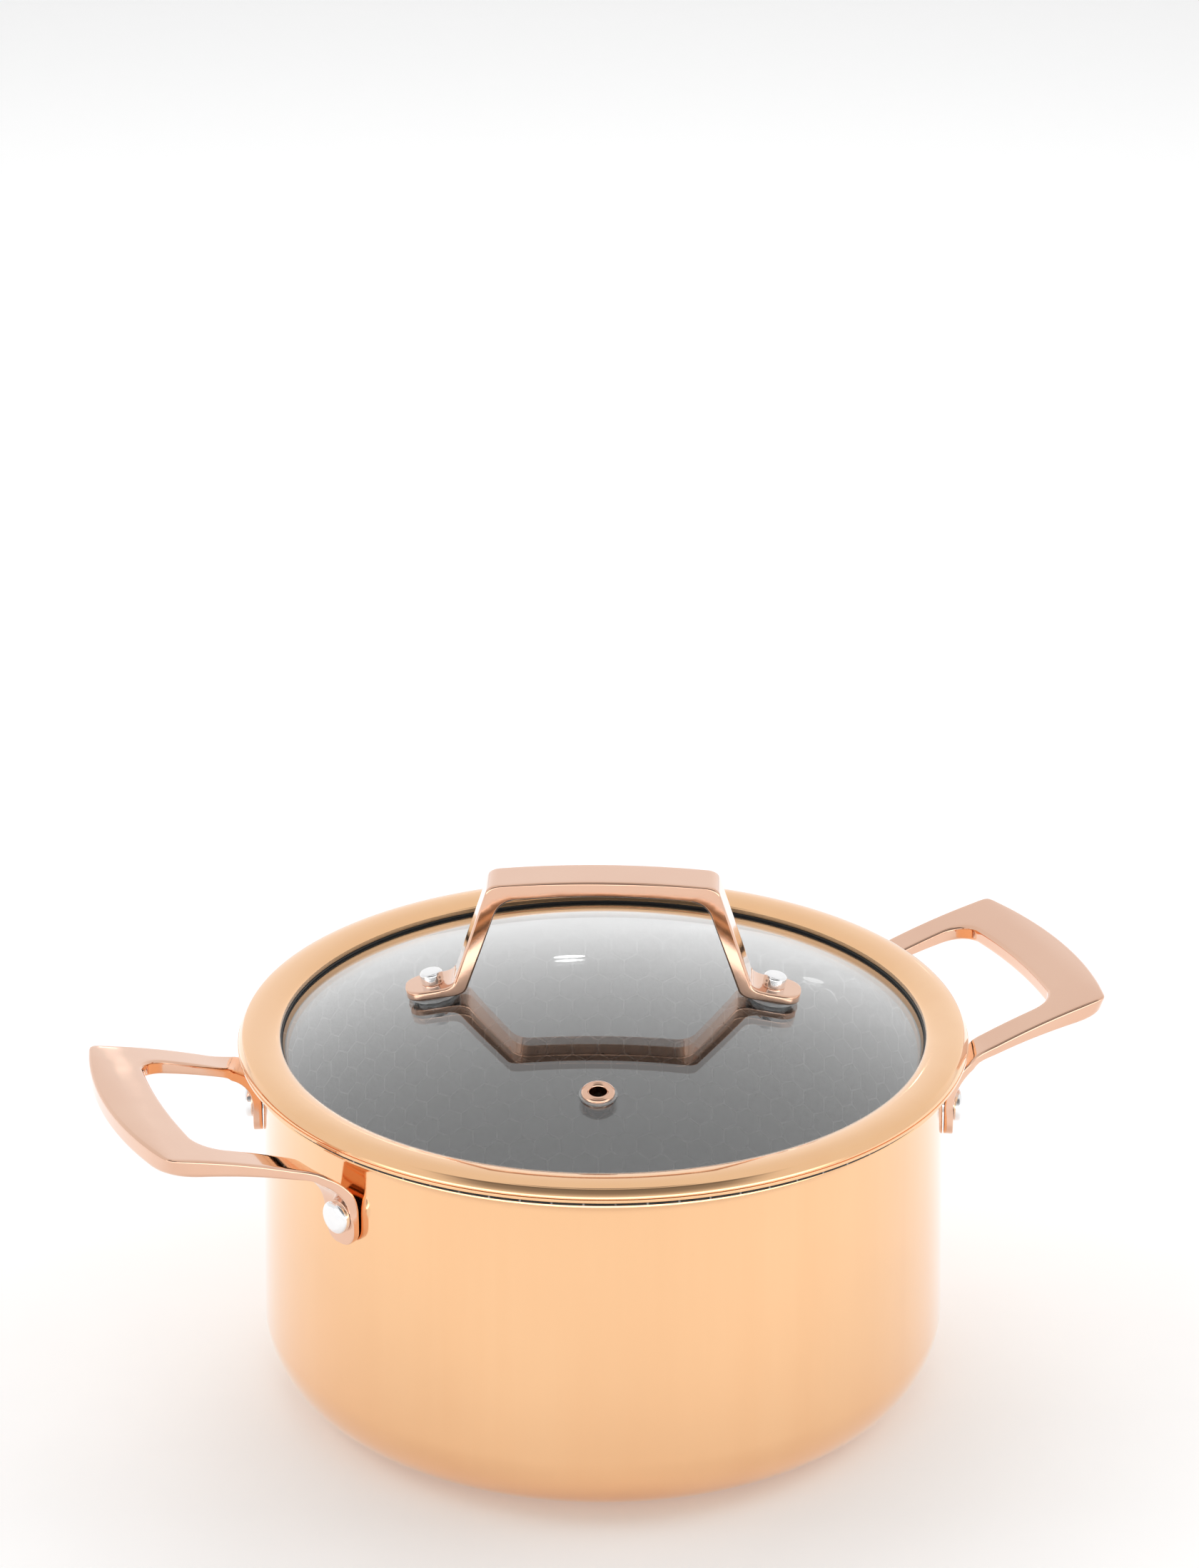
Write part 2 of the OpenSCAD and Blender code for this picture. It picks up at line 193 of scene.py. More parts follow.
def finish_mesh(name, bm, body, slot, replaces, sharp=32.0):
    """Turns a bmesh in millimetres into a smooth-shaded piece that rides on its body."""
    bmesh.ops.remove_doubles(bm, verts=bm.verts, dist=1e-4)
    bmesh.ops.recalc_face_normals(bm, faces=bm.faces)
    bmesh.ops.scale(bm, vec=(MM, MM, MM), verts=bm.verts)
    mesh = bpy.data.meshes.new(name)
    bm.to_mesh(mesh)
    bm.free()
    mesh.polygons.foreach_set("use_smooth", [True] * len(mesh.polygons))
    mesh.set_sharp_from_angle(angle=math.radians(sharp))
    obj = bpy.data.objects.new(name, mesh)
    bpy.context.scene.collection.objects.link(obj)
    mesh.materials.append(MATERIALS[slot])
    weights = obj.modifiers.new("even_normals", "WEIGHTED_NORMAL")
    weights.keep_sharp = True
    weights.weight = 60
    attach(obj, body)
    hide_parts(replaces)
    return obj


def arc(cx, cy, r, a0, a1, n):
    """Points of an arc, with both ends."""
    steps = [math.radians(a0 + (a1 - a0) * i / n) for i in range(n + 1)]
    return [(cx + r * math.cos(a), cy + r * math.sin(a)) for a in steps]


def rounded(corners, steps=5):
    """A closed outline from (x, y, radius) corners, each turned into an arc-like curve."""
    out = []
    count = len(corners)
    for i, (x, y, r) in enumerate(corners):
        here = Vector((x, y))
        if r <= 0:
            out.append((x, y))
            continue
        to_prev = Vector(corners[i - 1][:2]) - here
        to_next = Vector(corners[(i + 1) % count][:2]) - here
        half = to_prev.angle(to_next) / 2
        reach = min(r / math.tan(half), to_prev.length * 0.49, to_next.length * 0.49)
        a, b = here + to_prev.normalized() * reach, here + to_next.normalized() * reach
        for k in range(steps + 1):
            t = k / steps
            p = a * (1 - t) ** 2 + here * 2 * t * (1 - t) + b * t * t
            out.append((p.x, p.y))
    return out


def revolve(profile, segments, placement=None):
    """A closed (r, z) outline turned about Z, then carried by a matrix in millimetres."""
    bm = bmesh.new()
    rings = []
    for i in range(segments):
        a = 2 * math.pi * i / segments
        ring = []
        for r, z in profile:
            p = Vector((r * math.cos(a), r * math.sin(a), z))
            ring.append(bm.verts.new(placement @ p if placement else p))
        rings.append(ring)
    count = len(profile)
    for i in range(segments):
        one, two = rings[i], rings[(i + 1) % segments]
        for j in range(count):
            k = (j + 1) % count
            if profile[j][0] < 1e-9 and profile[k][0] < 1e-9:
                continue
            bm.faces.new((one[j], one[k], two[k], two[j]))
    return bm


def loft(sections):
    """A closed skin through sections that hold the same number of points."""
    bm = bmesh.new()
    loops = [[bm.verts.new(p) for p in section] for section in sections]
    count = len(loops[0])
    for one, two in zip(loops, loops[1:]):
        for j in range(count):
            k = (j + 1) % count
            bm.faces.new((one[j], one[k], two[k], two[j]))
    bm.faces.new(loops[0])
    bm.faces.new(reversed(loops[-1]))
    return bm


def edge_round(corner, to_before, to_after, r, steps):
    """A quarter-round at a section's corner, from the edge before it to the edge after."""
    a = to_before.normalized() * min(r, to_before.length * 0.45)
    b = to_after.normalized() * min(r, to_after.length * 0.45)
    turns = [math.pi / 2 * k / steps for k in range(steps + 1)]
    return [corner + a * (1 - math.sin(t)) + b * (1 - math.cos(t)) for t in turns]


def band_section(top, bottom, r_top, r_bottom, steps=4):
    """A strap's section from its top and bottom lines, with its four edges rounded."""
    out = edge_round(top[0], bottom[0] - top[0], top[1] - top[0], r_top, steps)
    out += list(top[1:-1])
    out += edge_round(top[-1], top[-2] - top[-1], bottom[-1] - top[-1], r_top, steps)
    out += edge_round(bottom[-1], top[-1] - bottom[-1], bottom[-2] - bottom[-1], r_bottom, steps)
    out += list(bottom[-2:0:-1])
    out += edge_round(bottom[0], bottom[1] - bottom[0], top[0] - bottom[0], r_bottom, steps)
    return out


def between(a, b, count):
    """Evenly spaced values from a to b, with both ends."""
    return [a + (b - a) * i / (count - 1) for i in range(count)]


# ------------------------------------------------------------------- materials


class Graph:
    """A short way to add and link shader nodes."""

    def __init__(self, tree):
        self.tree = tree

    def node(self, kind, **settings):
        """A new node with its settings."""
        made = self.tree.nodes.new(kind)
        for key, value in settings.items():
            setattr(made, key, value)
        return made

    def put(self, socket, value):
        """Links a socket to another one, or sets its own value."""
        if isinstance(value, bpy.types.NodeSocket):
            self.tree.links.new(value, socket)
        else:
            socket.default_value = value

    def math(self, operation, *values, clamp=False):
        made = self.node("ShaderNodeMath", operation=operation, use_clamp=clamp)
        for i, value in enumerate(values):
            self.put(made.inputs[i], value)
        return made.outputs[0]

    def vector(self, operation, *values, output=0):
        made = self.node("ShaderNodeVectorMath", operation=operation)
        for i, value in enumerate(values):
            self.put(made.inputs[i], value)
        return made.outputs[output]

    def span(self, value, low, high, out_low=0.0, out_high=1.0, smooth=True):
        """Carries low..high to out_low..out_high, clamped at both ends."""
        made = self.node("ShaderNodeMapRange")
        made.interpolation_type = "SMOOTHSTEP" if smooth else "LINEAR"
        self.put(made.inputs["Value"], value)
        for name, number in zip(
            ("From Min", "From Max", "To Min", "To Max"), (low, high, out_low, out_high)
        ):
            made.inputs[name].default_value = number
        return made.outputs["Result"]

    def noise(self, vector, scale, detail=2.0, roughness=0.5):
        made = self.node("ShaderNodeTexNoise")
        self.put(made.inputs["Vector"], vector)
        made.inputs["Scale"].default_value = scale
        made.inputs["Detail"].default_value = detail
        made.inputs["Roughness"].default_value = roughness
        return made.outputs["Fac"]

    def mix(self, factor, a, b):
        """Colour between a and b."""
        made = self.node("ShaderNodeMix", data_type="RGBA")
        self.put(made.inputs[0], factor)
        self.put(made.inputs[6], a)
        self.put(made.inputs[7], b)
        return made.outputs[2]

    def bump(self, height, strength, distance):
        made = self.node("ShaderNodeBump")
        made.inputs["Strength"].default_value = strength
        made.inputs["Distance"].default_value = distance
        self.put(made.inputs["Height"], height)
        return made.outputs["Normal"]

    def stretched(self, vector, x, y, z):
        """A position scaled by its own amount on each axis, which draws a noise out."""
        return self.vector("MULTIPLY", vector, (x, y, z))


def new_material(name):
    """A node material, its graph, its Principled shader and the object position."""
    material = bpy.data.materials.new(name)
    material.use_nodes = True
    graph = Graph(material.node_tree)
    shader = material.node_tree.nodes["Principled BSDF"]
    place = graph.node("ShaderNodeTexCoord").outputs["Object"]
    return material, graph, shader, place


def rgba(r, g, b):
    return (r, g, b, 1.0)


def polished_metal(name, light, dark, rough, coat, coat_ior, waviness, streaks):
    """Mirror-polished plating: faint colour drift, polishing streaks and slight waves."""
    material, graph, shader, place = new_material(name)
    drift = graph.noise(place, 9.0, 3.0)
    polish = graph.noise(graph.stretched(place, *streaks), 1.0, 4.0, 0.6)
    tone = graph.math("MULTIPLY", drift, polish)
    graph.put(shader.inputs["Base Color"], graph.mix(graph.span(tone, 0.1, 0.42), dark, light))
    shader.inputs["Metallic"].default_value = 1.0
    low, high = rough
    graph.put(shader.inputs["Roughness"], graph.span(polish, 0.25, 0.75, low, high, False))
    waves = graph.noise(place, 55.0, 1.0, 0.4)
    lines = graph.noise(graph.stretched(place, *streaks), 2.2, 2.0, 0.5)
    height = graph.math("ADD", waves, graph.math("MULTIPLY", lines, 0.12))
    graph.put(shader.inputs["Normal"], graph.bump(height, waviness, 0.0006))
    shader.inputs["Coat Weight"].default_value = coat
    shader.inputs["Coat Roughness"].default_value = 0.04
    shader.inputs["Coat IOR"].default_value = coat_ior
    return material


def hexagons(graph, plane, cell):
    """Distance from the nearest side of a hexagon, 0 on the lines, 0.5 at the centres."""
    tall = math.sqrt(3.0)
    spot = graph.vector("SCALE", plane)
    spot.node.inputs["Scale"].default_value = 1.0 / cell
    middle = (0.5, tall / 2, 0.0)

    def local(shift):
        moved = graph.vector("ADD", spot, shift)
        wrapped = graph.vector("WRAP", moved, (1.0, tall, 1.0), (0.0, 0.0, 0.0))
        offset = graph.vector("SUBTRACT", wrapped, middle)
        flat = graph.vector("MULTIPLY", offset, (1.0, 1.0, 0.0))
        return graph.vector("ABSOLUTE", flat), graph.vector("LENGTH", flat, output=1)

    (a, far_a), (b, far_b) = local((0.0, 0.0, 0.0)), local(middle)
    nearer = graph.math("LESS_THAN", far_a, far_b)
    picked = graph.node("ShaderNodeMix", data_type="VECTOR")
    graph.put(picked.inputs[0], nearer)
    graph.put(picked.inputs[4], b)
    graph.put(picked.inputs[5], a)
    cell_spot = picked.outputs[1]
    level = graph.node("ShaderNodeSeparateXYZ")
    graph.put(level.inputs[0], cell_spot)
    slant = graph.vector("DOT_PRODUCT", cell_spot, (0.5, tall / 2, 0.0), output=1)
    return graph.math("SUBTRACT", 0.5, graph.math("MAXIMUM", level.outputs[0], slant))


def non_stick_liner():
    """Dark non-stick coating with a fine raised net of hexagons, on the floor and the wall."""
    material, graph, shader, place = new_material("non_stick_liner")
    split = graph.node("ShaderNodeSeparateXYZ")
    graph.put(split.inputs[0], place)
    x, y, z = split.outputs
    around = graph.math("MULTIPLY", graph.math("ARCTAN2", y, x), LINER_WALL_R)
    wall = graph.node("ShaderNodeCombineXYZ")
    graph.put(wall.inputs[0], around)
    graph.put(wall.inputs[1], z)
    reach = graph.vector("LENGTH", graph.vector("MULTIPLY", place, (1.0, 1.0, 0.0)), output=1)
    on_wall = graph.math("GREATER_THAN", reach, LINER_FLOOR_R)
    plane = graph.node("ShaderNodeMix", data_type="VECTOR")
    graph.put(plane.inputs[0], on_wall)
    graph.put(plane.inputs[4], place)
    graph.put(plane.inputs[5], wall.outputs[0])
    edge = hexagons(graph, plane.outputs[1], HEX_CELL)
    wear = graph.noise(place, 18.0, 3.0)
    patchy = graph.span(graph.noise(place, 130.0, 2.0), 0.35, 0.6, 0.4, 1.0)
    line = graph.math("MULTIPLY", graph.span(edge, 0.012, 0.048, 1.0, 0.0), patchy)
    grain = graph.noise(place, 150.0, 2.0)
    coating = graph.mix(wear, rgba(0.010, 0.010, 0.011), rgba(0.018, 0.018, 0.019))
    graph.put(shader.inputs["Base Color"], graph.mix(line, coating, rgba(0.28, 0.28, 0.28)))
    graph.put(shader.inputs["Roughness"], graph.span(grain, 0.3, 0.7, 0.45, 0.6, False))
    ridge = graph.math("MULTIPLY", line, 0.8)
    height = graph.math("ADD", ridge, graph.math("MULTIPLY", grain, 0.04))
    graph.put(shader.inputs["Normal"], graph.bump(height, 0.25, 0.0001))
    shader.inputs["Metallic"].default_value = 0.0
    return material


def lid_glass():
    """Clear tempered glass. Light that only passes through goes straight on."""
    material, graph, shader, place = new_material("lid_glass")
    smear = graph.noise(graph.stretched(place, 1.0, 3.0, 1.0), 14.0, 3.0)
    tint = graph.mix(smear, rgba(0.94, 0.95, 0.95), rgba(0.97, 0.98, 0.98))
    graph.put(shader.inputs["Base Color"], tint)
    graph.put(shader.inputs["Roughness"], graph.span(smear, 0.35, 0.75, 0.0, 0.03, False))
    shader.inputs["IOR"].default_value = 1.5
    shader.inputs["Transmission Weight"].default_value = 1.0
    mirror = graph.node("ShaderNodeBsdfGlossy")
    mirror.inputs["Color"].default_value = rgba(1.0, 1.0, 1.0)
    mirror.inputs["Roughness"].default_value = 0.02
    bend = graph.node("ShaderNodeFresnel")
    bend.inputs["IOR"].default_value = 1.5
    extra = graph.math("MULTIPLY", bend.outputs[0], 1.5, clamp=True)
    surface = graph.node("ShaderNodeMixShader")
    graph.put(surface.inputs[0], extra)
    graph.put(surface.inputs[1], shader.outputs[0])
    graph.put(surface.inputs[2], mirror.outputs[0])
    through = graph.node("ShaderNodeBsdfTransparent")
    through.inputs["Color"].default_value = rgba(0.82, 0.83, 0.84)
    shade = graph.node("ShaderNodeLightPath").outputs["Is Shadow Ray"]
    either = graph.node("ShaderNodeMixShader")
    graph.put(either.inputs[0], shade)
    graph.put(either.inputs[1], surface.outputs[0])
    graph.put(either.inputs[2], through.outputs[0])
    out = material.node_tree.nodes["Material Output"]
    graph.put(out.inputs["Surface"], either.outputs[0])
    return material


def silicone(name, light, dark, rough, clear):
    """Moulded silicone with a soft sheen and a fine mould texture."""
    material, graph, shader, place = new_material(name)
    cloud = graph.noise(place, 120.0, 2.0)
    fine = graph.noise(place, 2600.0, 2.0)
    graph.put(shader.inputs["Base Color"], graph.mix(cloud, dark, light))
    graph.put(shader.inputs["Roughness"], graph.span(fine, 0.3, 0.7, rough - 0.06, rough + 0.06))
    graph.put(shader.inputs["Normal"], graph.bump(fine, 0.15, 0.00005))
    shader.inputs["IOR"].default_value = 1.42
    shader.inputs["Transmission Weight"].default_value = clear
    return material


def cast_aluminium():
    """Matt aluminium with a fine upright grain."""
    material, graph, shader, place = new_material("aluminium_core")
    grain = graph.noise(graph.stretched(place, 1.0, 1.0, 8.0), 240.0, 3.0)
    graph.put(
        shader.inputs["Base Color"], graph.mix(grain, rgba(0.62, 0.63, 0.64), rgba(0.78, 0.79, 0.8))
    )
    graph.put(shader.inputs["Roughness"], graph.span(grain, 0.2, 0.8, 0.3, 0.45))
    shader.inputs["Metallic"].default_value = 1.0
    return material


MATERIALS = {
    "copper_finish": polished_metal(
        "copper_finish",
        light=rgba(0.975, 0.590, 0.312),
        dark=rgba(0.955, 0.560, 0.288),
        rough=(0.07, 0.12),
        coat=1.0,
        coat_ior=1.5,
        waviness=0.06,
        streaks=(60.0, 60.0, 3.0),
    ),
    "rose_handle": polished_metal(
        "rose_handle",
        light=rgba(0.845, 0.520, 0.360),
        dark=rgba(0.815, 0.480, 0.325),
        rough=(0.05, 0.11),
        coat=1.0,
        coat_ior=1.7,
        waviness=0.18,
        streaks=(40.0, 40.0, 90.0),
    ),
    "rivet_steel": polished_metal(
        "rivet_steel",
        light=rgba(0.99, 0.99, 0.99),
        dark=rgba(0.93, 0.93, 0.94),
        rough=(0.10, 0.20),
        coat=0.3,
        coat_ior=1.5,
        waviness=0.30,
        streaks=(300.0, 300.0, 300.0),
    ),
    "non_stick_liner": non_stick_liner(),
    "lid_glass": lid_glass(),
    "black_silicone": silicone(
        "black_silicone", rgba(0.02, 0.02, 0.02), rgba(0.008, 0.008, 0.008), 0.35, 0.0
    ),
    "clear_silicone": silicone(
        "clear_silicone", rgba(0.93, 0.95, 0.95), rgba(0.86, 0.89, 0.90), 0.2, 0.8
    ),
    "aluminium_core": cast_aluminium(),
}

# ------------------------------------------------------------------------- pot


def wall_line(depth, lip_depth):
    """Pot section at a depth below the outer surface, up to the start of the lip."""
    corner = arc(POT_R - CORNER_R, CORNER_R, CORNER_R - depth, -90, 0, 28)
    floor = [(r, depth) for r in between(0.0, POT_R - CORNER_R, 14)[:-1]]
    low = (NECK_R - depth, LIP_Z - CORE_FADE)
    wall = [
        (POT_R - depth + (low[0] - POT_R + depth) * t, CORNER_R + (low[1] - CORNER_R) * t)
        for t in between(0.0, 1.0, 12)[1:]
    ]
    return floor + corner + wall + [(NECK_R - lip_depth, LIP_Z)]


def lip_line(depth):
    """The lip's quarter turn outwards, at a depth below the outer surface."""
    return arc(NECK_R + LIP_BEND_R, LIP_Z, LIP_BEND_R + depth, 180, 90, 14)[1:]


def make_pot():
    """The copper skin, and the dark liner that laps over the core at the lip."""
    edge_z = LIP_Z + LIP_BEND_R
    skin_edge = [(LIP_R - 0.12, edge_z), (LIP_R, edge_z + 0.12)]
    skin_edge += [(LIP_R - 0.10, edge_z + 0.55), (LIP_R - 0.14, edge_z + SKIN_T)]
    outer = wall_line(0.0, 0.0) + lip_line(0.0) + skin_edge
    inner = wall_line(SKIN_T, SKIN_T) + lip_line(SKIN_T)
    finish_mesh(
        "pot_shell",
        revolve(outer + inner[::-1], 256),
        "pot",
        "copper_finish",
        "pot_outer_skin",
    )
    deep = SKIN_T + CORE_T
    low_side = wall_line(deep, SKIN_T) + lip_line(SKIN_T)
    rolled = [(LIP_R - 0.14, POT_H - LIP_T + SKIN_T), (LIP_R - 0.12, POT_H - 0.2)]
    rolled += [(LIP_R - 0.3, POT_H)]
    high_side = wall_line(WALL_T, LIP_T) + lip_line(LIP_T)
    finish_mesh(
        "pot_lining",
        revolve(low_side + rolled + high_side[::-1], 256),
        "pot",
        "non_stick_liner",
        "pot_liner",
    )


def side_rivet(name, angle):
    """Button head on the tab, shank, and a flat head inside the pot."""
    inner = NECK_R - WALL_T - 0.35
    face = TAB_FACE + ARM_T
    profile = rounded(
        [
            (0.0, inner - INNER_HEAD_H, 0),
            (RIVET_HEAD_R, inner - INNER_HEAD_H, 0.6),
            (RIVET_HEAD_R, inner, 0),
            (RIVET_SHANK_R, inner, 0),
            (RIVET_SHANK_R, face, 0),
            (RIVET_HEAD_R - 0.25, face, 0.15),
            (RIVET_HEAD_R, face + 0.5, 0.8),
            (RIVET_HEAD_R, face + RIVET_HEAD_H - 0.75, 1.5),
            (RIVET_HEAD_R - 1.5, face + RIVET_HEAD_H - 0.05, 0.8),
            (0.0, face + RIVET_HEAD_H, 0),
        ]
    )
    turn = Matrix.Rotation(math.radians(angle), 4, "Z")
    place = turn @ Matrix.Translation((0, 0, RIVET_Z)) @ Matrix.Rotation(math.pi / 2, 4, "Y")
    finish_mesh(name + "_piece", revolve(profile, 64, place), "pot", "rivet_steel", name)


# ---------------------------------------------------------------- side handles


def arm_top(u):
    """Height of the top face at a distance u from the pot's axis."""
    back = max(0.0, GRIP_REACH - u)
    return GRIP_TOP - ARM_SLOPE * back - ARM_CURVE * back * back


def arm_depth(u):
    """Thickness at u, from the thin strap at the pot to the full grip."""
    share = min(1.0, max(0.0, (u - ARM_START) / (GRIP_REACH - ARM_START)))
    return ARM_T + (GRIP_T - ARM_T) * share**1.2


def bow_point(x, half, bow, y):
    """Point at height y on the arc that bulges by bow between (x, half) and (x, -half)."""
    r = (half * half + bow * bow) / (2 * bow)
    return Vector((x + bow - r + math.sqrt(r * r - y * y), y))


def polar(r, degrees):
    """Plan point from a radius and an angle."""
    return Vector((r * math.cos(math.radians(degrees)), r * math.sin(math.radians(degrees))))


def tab_station(r_top, z_top, r_low, z_low, half_w):
    """Strap lines at one height of a tab, which hugs the round wall."""
    turns = between(1.0, -1.0, ACROSS)
    spread = math.degrees(half_w / TAB_FACE)
    top = [Vector((*polar(r_top, TAB_ANGLE + t * spread), z_top)) for t in turns]
    low = [Vector((*polar(r_low, TAB_ANGLE + t * spread), z_low)) for t in turns]
    return top, low


def strap_side(r, outer):
    """Plan point at radius r on a strap end's side, between the tab and the full arm."""
    spread = math.degrees(math.asin(TAB_W / 2 / TAB_FACE))
    tab = polar(TAB_FACE + ARM_T / 2, TAB_ANGLE + (spread if outer else -spread))
    arm = Vector((ARM_FULL, GRIP_HALF if outer else GRIP_HALF - ARM_W))
    share = (r - tab.length) / (arm.length - tab.length)
    if share <= 0:
        return polar(r, TAB_ANGLE + (spread if outer else -spread))
    return tab.lerp(arm, share)


def bend_station(turn):
    """Strap lines at one turn of the bend between the tab and the arm."""
    a = math.radians(turn)
    r_top = TAB_FACE + BEND_R * (1 - math.cos(a))
    r_low = TAB_FACE + BEND_R - (BEND_R - ARM_T) * math.cos(a)
    z_top = BEND_Z + BEND_R * math.sin(a)
    z_low = BEND_Z + (BEND_R - ARM_T) * math.sin(a)
    rows = []
    for r, z in ((r_top, z_top), (r_low, z_low)):
        one, two = strap_side(r, True), strap_side(r, False)
        rows.append([Vector((*one.lerp(two, t), z)) for t in between(0.0, 1.0, ACROSS)])
    return rows


def plate_station(outer, inner, outer_low=None):
    """Strap lines of the flat part of the handle, between two points of its plan."""
    outer_low = outer_low or outer
    top, low = [], []
    for t in between(0.0, 1.0, ACROSS):
        p, q = outer.lerp(inner, t), outer_low.lerp(inner, t)
        top.append(Vector((p.x, p.y, arm_top(p.x))))
        low.append(Vector((q.x, q.y, arm_top(q.x) - arm_depth(q.x))))
    return top, low


def corner_path(radius, share):
    """Outer corner of the grip in plan, rounded by radius; share runs 0 to 1 past it."""
    corner = Vector((GRIP_REACH, GRIP_HALF))
    start = corner - Vector((radius, 0))
    end = bow_point(GRIP_REACH, GRIP_HALF, GRIP_BOW, GRIP_HALF - radius)
    return start * (1 - share) ** 2 + corner * 2 * share * (1 - share) + end * share * share


def half_handle():
    """Sections from the tab's lower end to the middle of the grip, on the +Y side."""
    stations = []
    for d in (0.02, 0.25, 0.7, 1.4, 2.3, 3.4, TAB_CORNER_R):
        inset = TAB_CORNER_R - math.sqrt(max(0.0, TAB_CORNER_R**2 - (TAB_CORNER_R - d) ** 2))
        z = TAB_BOTTOM + d
        stations.append(tab_station(TAB_FACE, z, TAB_FACE + ARM_T, z, TAB_W / 2 - inset))
    z = TAB_STRAIGHT_TOP
    stations.append(tab_station(TAB_FACE, z, TAB_FACE + ARM_T, z, TAB_W / 2))
    stations += [bend_station(turn) for turn in between(0.0, BEND_SWEEP, 11)]
    last = stations[-1]
    slope = math.radians(90 - BEND_SWEEP)
    for share in between(0.0, 1.0, 6)[1:-1]:
        weight = share * share * (3 - 2 * share)
        u = BLEND_START + (BLEND_END - BLEND_START) * share
        arm = plate_station(Vector((u, GRIP_HALF)), Vector((u, ARM_INNER_Y)))
        run = BLEND_RUN * share
        step = Vector((run * math.cos(slope), -run * BLEND_DRIFT, run * math.sin(slope)))
        mixed = [
            [(a + step).lerp(b, weight) for a, b in zip(one, two)]
            for one, two in zip(last, arm)
        ]
        stations.append(mixed)
    fillet_x = INNER_X - OPENING_R
    fillet_y = ARM_INNER_Y - OPENING_R
    for u in between(BLEND_END, fillet_x, 6):
        stations.append(plate_station(Vector((u, GRIP_HALF)), Vector((u, ARM_INNER_Y))))
    corner_in, corner_out = GRIP_REACH - LOW_CORNER_R, GRIP_HALF - LOW_CORNER_R
    inner = [Vector(p) for p in arc(fillet_x, fillet_y, OPENING_R, 90, 0, 14)]
    ahead = [Vector((u, GRIP_HALF)) for u in between(fillet_x, corner_in, 4)[1:]]
    for k, outer in enumerate(ahead):
        stations.append(plate_station(outer, inner[k + 1]))
    for k, share in enumerate(between(0.0, 1.0, 9)):
        top_share = min(1.0, max(0.0, (share - 0.5) * 2.2 + 0.5))
        top = corner_path(TOP_CORNER_R, top_share)
        if share < 0.27:
            top = Vector((corner_in, GRIP_HALF)).lerp(corner_path(TOP_CORNER_R, 0.0), share / 0.27)
        if share > 0.73:
            end = bow_point(GRIP_REACH, GRIP_HALF, GRIP_BOW, corner_out)
            top = corner_path(TOP_CORNER_R, 1.0).lerp(end, (share - 0.73) / 0.27)
        low = corner_path(LOW_CORNER_R, share)
        stations.append(plate_station(top, inner[min(14, 4 + k)], low))
    for y, inner_y in zip(between(corner_out, 0.0, 9)[1:], between(fillet_y, 0.0, 9)[1:]):
        outer = bow_point(GRIP_REACH, GRIP_HALF, GRIP_BOW, y)
        stations.append(plate_station(outer, bow_point(INNER_X, fillet_y, INNER_BOW, inner_y)))
    return stations


def make_side_handle(name, turn):
    """The half handle and its mirror image, skinned as one casting."""
    half = half_handle()
    whole = list(half)
    flip = Vector((1, -1, 1))
    for top, low in reversed(half[:-1]):
        whole.append(([p * flip for p in top], [p * flip for p in low]))
    sections = []
    place = Matrix.Rotation(math.radians(turn), 4, "Z")
    for top, low in whole:
        thick = (top[ACROSS // 2] - low[ACROSS // 2]).length
        low_r = LOW_EDGE_R + LOW_EDGE_GAIN * max(0.0, thick - ARM_T)
        sections.append([place @ p for p in band_section(top, low, TOP_EDGE_R, low_r)])
    finish_mesh(name + "_piece", loft(sections), "pot", "rose_handle", name, 50.0)


# ------------------------------------------------------------------------- lid


def dome_z(r):
    """Height of the glass's upper face at a distance r from the lid's axis."""
    return DOME_TOP - DOME_R + math.sqrt(DOME_R * DOME_R - r * r)


def on_dome(r, angle):
    """Carries a shape to the dome's surface, square to the glass."""
    spin = Matrix.Rotation(math.radians(LID_TURN + angle), 4, "Z")
    tilt = Matrix.Rotation(math.asin(r / DOME_R), 4, "Y")
    return spin @ Matrix.Translation((r, 0, dome_z(r))) @ tilt


